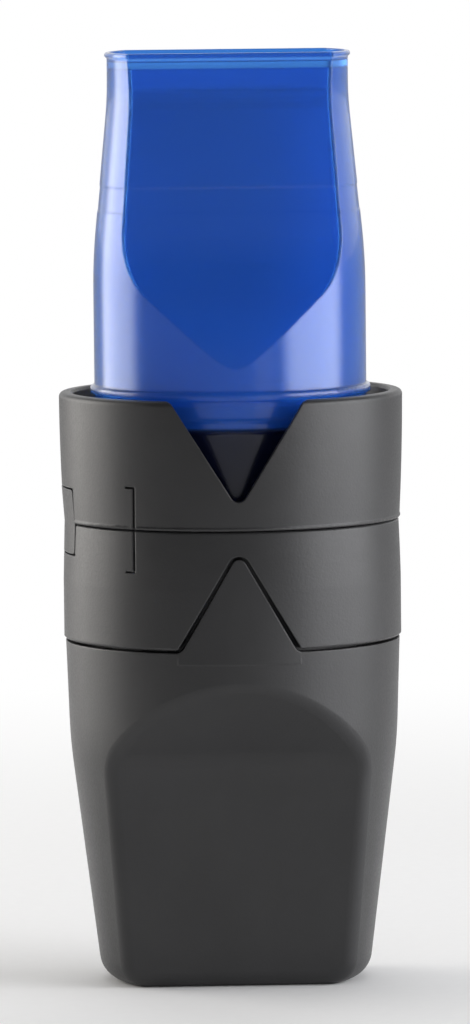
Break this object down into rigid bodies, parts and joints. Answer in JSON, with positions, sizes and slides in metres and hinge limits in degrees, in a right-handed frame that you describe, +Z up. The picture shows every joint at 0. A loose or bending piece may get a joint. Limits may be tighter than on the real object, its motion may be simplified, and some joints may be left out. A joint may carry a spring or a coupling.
{
  "type": "inspiratory muscle trainer",
  "caption": "Hand-held breathing trainer: dark tapered handle, ringed valve head with V notches, blue translucent cover over a soft mouthpiece.",
  "frame": {"origin": "centre of the rest face under the handle", "axes": "+Z up along the trainer, -Y towards the front grip face, +X to the right"},
  "size_m": [0.0608, 0.06, 0.165],
  "materials": {
    "charcoal_plastic": "satin",
    "blue_clear_plastic": "glossy, translucent",
    "dark_moulding": "satin",
    "pale_moulding": "satin",
    "soft_mouthpiece": "matte silicone",
    "black_rubber": "matte",
    "valve_silicone": "matte silicone",
    "steel": "bright",
    "knob_plastic": "satin",
    "pointer_red": "satin"
  },
  "bodies": {
    "handle": {"handle_shell": "charcoal_plastic"},
    "head": {"lower_ring": "charcoal_plastic", "upper_collar": "charcoal_plastic", "valve_body": "dark_moulding", "body_seal": "black_rubber", "neck_seal": "black_rubber", "inlet_seat": "pale_moulding", "stem_guide": "pale_moulding", "spring_cage": "pale_moulding", "cage_screws": "steel", "load_scale": "pale_moulding", "spring_stop": "steel", "load_spring": "steel"},
    "latch": {"side_latch": "charcoal_plastic", "latch_spring": "steel"},
    "exhale_valve": {"exhale_flap": "valve_silicone", "exhale_retainer": "pale_moulding"},
    "inlet_valve": {"valve_disc": "pale_moulding", "valve_seal": "valve_silicone"},
    "adjuster": {"threaded_rod": "pale_moulding", "adjuster_knob": "knob_plastic", "knob_screw": "steel", "stem_clip": "steel"},
    "load_nut": {"tension_nut": "knob_plastic", "load_pointer": "pointer_red", "nut_washer": "steel"},
    "mouth": {"mouthpiece": "soft_mouthpiece"},
    "cover": {"mouthpiece_cover": "blue_clear_plastic"}
  },
  "joints": [
    {"name": "head_lift", "type": "slide", "parent": "handle", "child": "head", "axis": [0, 0, 1], "range_m": [0, 0.078]},
    {"name": "latch_press", "type": "slide", "parent": "head", "child": "latch", "axis": [1, 0, 0], "range_m": [0, 0.0007], "stiffness_N_per_m": 900},
    {"name": "exhale_open", "type": "slide", "parent": "head", "child": "exhale_valve", "axis": [0, 0, -1], "range_m": [0, 0.001], "stiffness_N_per_m": 60, "springref_m": -0.001},
    {"name": "inlet_open", "type": "slide", "parent": "head", "child": "inlet_valve", "axis": [0, 0, 1], "range_m": [0, 0.003], "stiffness_N_per_m": 400, "springref_m": -0.004, "deforming": ["load_spring"]},
    {"name": "adjuster_turn", "type": "hinge", "parent": "inlet_valve", "child": "adjuster", "pos_m": [0, 0, 0.01], "axis": [0, 0, 1], "range_deg": [0, 2881]},
    {"name": "nut_travel", "type": "slide", "parent": "inlet_valve", "child": "load_nut", "axis": [0, 0, 1], "range_m": [0, 0.016], "deforming": ["load_spring"]},
    {"name": "mouthpiece_pull", "type": "slide", "parent": "head", "child": "mouth", "axis": [0, 0, 1], "range_m": [0, 0.05]},
    {"name": "cover_lift", "type": "slide", "parent": "mouth", "child": "cover", "axis": [0, 0, 1], "range_m": [0, 0.085]}
  ],
  "couplings": [
    {"joint": "adjuster_turn", "follows": "nut_travel", "rad_per_m": 3141.6}
  ]
}
